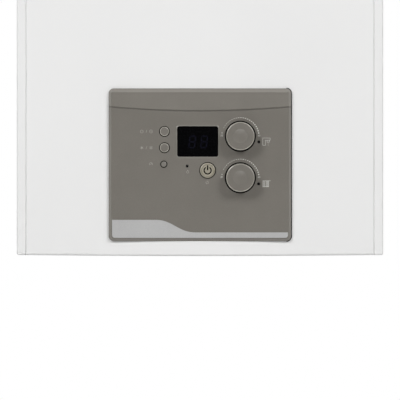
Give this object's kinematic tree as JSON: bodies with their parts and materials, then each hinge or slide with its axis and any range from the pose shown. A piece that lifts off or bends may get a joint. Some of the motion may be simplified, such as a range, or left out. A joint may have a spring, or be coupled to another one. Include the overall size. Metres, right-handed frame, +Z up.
{
  "type": "wall-hung combi boiler",
  "caption": "White wall-hung gas combi boiler with a crowned front panel, a grey control panel with display, knobs and buttons, and pipe connections below.",
  "frame": {"origin": "midway between the two hanging holes, on the wall face of the back panel", "axes": "+X to the right seen from the front, +Y into the wall, +Z up"},
  "size_m": [0.4, 0.313, 0.732],
  "materials": {
    "white_enamel": "satin powder coat, faint orange peel",
    "galvanised_steel": "zinc-coated sheet",
    "insulation_felt": "matt mineral felt",
    "zinc_fixings": "bright zinc plate",
    "clip_nylon": "moulded nylon",
    "red_enamel": "gloss enamel",
    "stainless_steel": "pressed stainless steel",
    "cast_aluminium": "as cast",
    "seal_rubber": "matt",
    "electrode_ceramic": "glazed",
    "impeller_plastic": "moulded, glass filled",
    "black_plastic": "moulded, fine texture",
    "gas_pipe_coating": "yellow passivated steel",
    "flue_plastic": "moulded polypropylene",
    "grey_plastic": "moulded polypropylene",
    "group_composite": "glass-filled composite",
    "brass": "machined",
    "red_plastic": "moulded",
    "blue_plastic": "moulded",
    "pump_coating": "satin coat",
    "copper": "drawn tube, dulled",
    "box_plastic": "moulded",
    "cable_sheath": "extruded sheath, moulded plugs",
    "circuit_board": "green solder mask",
    "fascia_plastic": "satin metallic moulding",
    "silver_lacquer": "satin silver lacquer",
    "display_glass": "polished black",
    "knob_plastic": "satin metallic moulding",
    "button_plastic": "satin moulding",
    "power_plastic": "satin moulding",
    "lamp_lens": "clear tinted lens"
  },
  "bodies": {
    "boiler": {"air_gas_duct": "cast_aluminium", "air_silencer": "black_plastic", "back_panel": "galvanised_steel", "bottom_plate": "galvanised_steel", "burner_door": "cast_aluminium", "burner_tube": "stainless_steel", "cable_gland": "black_plastic", "case_screws": "zinc_fixings", "circuit_boards": "circuit_board", "condensate_hose": "grey_plastic", "condensate_trap": "grey_plastic", "control_box": "box_plastic", "cross_bracket": "galvanised_steel", "display_module": "display_glass", "display_window": "display_glass", "diverter_actuator": "black_plastic", "door_gasket": "seal_rubber", "door_nuts": "zinc_fixings", "electrodes": "electrode_ceramic", "expansion_vessel": "red_enamel", "fan_housing": "cast_aluminium", "fan_motor": "black_plastic", "fascia": "fascia_plastic", "flow_group": "group_composite", "flue_collar": "flue_plastic", "flue_duct": "flue_plastic", "flue_test_caps": "flue_plastic", "gas_pipes": "gas_pipe_coating", "gas_valve": "cast_aluminium", "header_trim": "fascia_plastic", "heat_exchanger_coil": "stainless_steel", "heat_exchanger_shell": "stainless_steel", "left_side_panel": "white_enamel", "panel_clips": "clip_nylon", "plate_heat_exchanger": "stainless_steel", "pressure_sensor": "black_plastic", "pump_motor": "pump_coating", "relief_valve": "brass", "return_group": "group_composite", "right_side_panel": "white_enamel", "silver_band": "silver_lacquer", "status_lamps": "lamp_lens", "top_panel": "white_enamel", "venturi": "cast_aluminium", "water_pipes": "copper", "wiring_harness": "cable_sheath"},
    "front_cover": {"front_panel": "white_enamel", "front_panel_insulation": "insulation_felt", "panel_studs": "zinc_fixings"},
    "hot_water_dial": {"hot_water_knob": "knob_plastic"},
    "heating_dial": {"heating_knob": "knob_plastic"},
    "upper_key": {"upper_button": "button_plastic"},
    "lower_key": {"lower_button": "button_plastic"},
    "power_key": {"power_button": "power_plastic"},
    "fan_wheel": {"fan_impeller": "impeller_plastic"},
    "pump_wheel": {"pump_impeller": "impeller_plastic"},
    "turbine_wheel": {"flow_turbine": "impeller_plastic"},
    "diverter_spool": {"diverter_plunger": "brass"},
    "relief_cap": {"relief_valve_knob": "red_plastic"},
    "filling_lever": {"filling_tap_handle": "blue_plastic"}
  },
  "joints": [
    {"name": "front_panel_off", "type": "slide", "parent": "boiler", "child": "front_cover", "axis": [0, -1, 0], "range_m": [0, 0.3]},
    {"name": "hot_water_turn", "type": "hinge", "parent": "boiler", "child": "hot_water_dial", "pos_m": [0.0439, -0.3, -0.5345], "axis": [0, 1, 0], "range_deg": [-90, 90]},
    {"name": "heating_turn", "type": "hinge", "parent": "boiler", "child": "heating_dial", "pos_m": [0.0439, -0.3, -0.5797], "axis": [0, 1, 0], "range_deg": [-90, 90]},
    {"name": "upper_button_press", "type": "slide", "parent": "boiler", "child": "upper_key", "axis": [0, 1, 0], "range_m": [0, 0.0012], "stiffness_N_per_m": 1500},
    {"name": "lower_button_press", "type": "slide", "parent": "boiler", "child": "lower_key", "axis": [0, 1, 0], "range_m": [0, 0.0012], "stiffness_N_per_m": 1500},
    {"name": "power_button_press", "type": "slide", "parent": "boiler", "child": "power_key", "axis": [0, 1, 0], "range_m": [0, 0.0012], "stiffness_N_per_m": 1500},
    {"name": "fan_spin", "type": "hinge", "parent": "boiler", "child": "fan_wheel", "pos_m": [0, -0.209, -0.37], "axis": [1, 0, 0], "continuous": true},
    {"name": "pump_spin", "type": "hinge", "parent": "boiler", "child": "pump_wheel", "pos_m": [0.13, -0.14, -0.571], "axis": [0, 1, 0], "continuous": true},
    {"name": "turbine_spin", "type": "hinge", "parent": "boiler", "child": "turbine_wheel", "pos_m": [0.065, -0.11, -0.59], "axis": [0, 0, 1], "continuous": true},
    {"name": "diverter_shift", "type": "slide", "parent": "boiler", "child": "diverter_spool", "axis": [0, 0, 1], "range_m": [0, 0.008]},
    {"name": "relief_turn", "type": "hinge", "parent": "boiler", "child": "relief_cap", "pos_m": [-0.1, -0.2, -0.595], "axis": [0, 1, 0], "range_deg": [0, 90]},
    {"name": "filling_tap_turn", "type": "hinge", "parent": "boiler", "child": "filling_lever", "pos_m": [0.069, -0.16, -0.614], "axis": [0, 1, 0], "range_deg": [0, 90]}
  ]
}
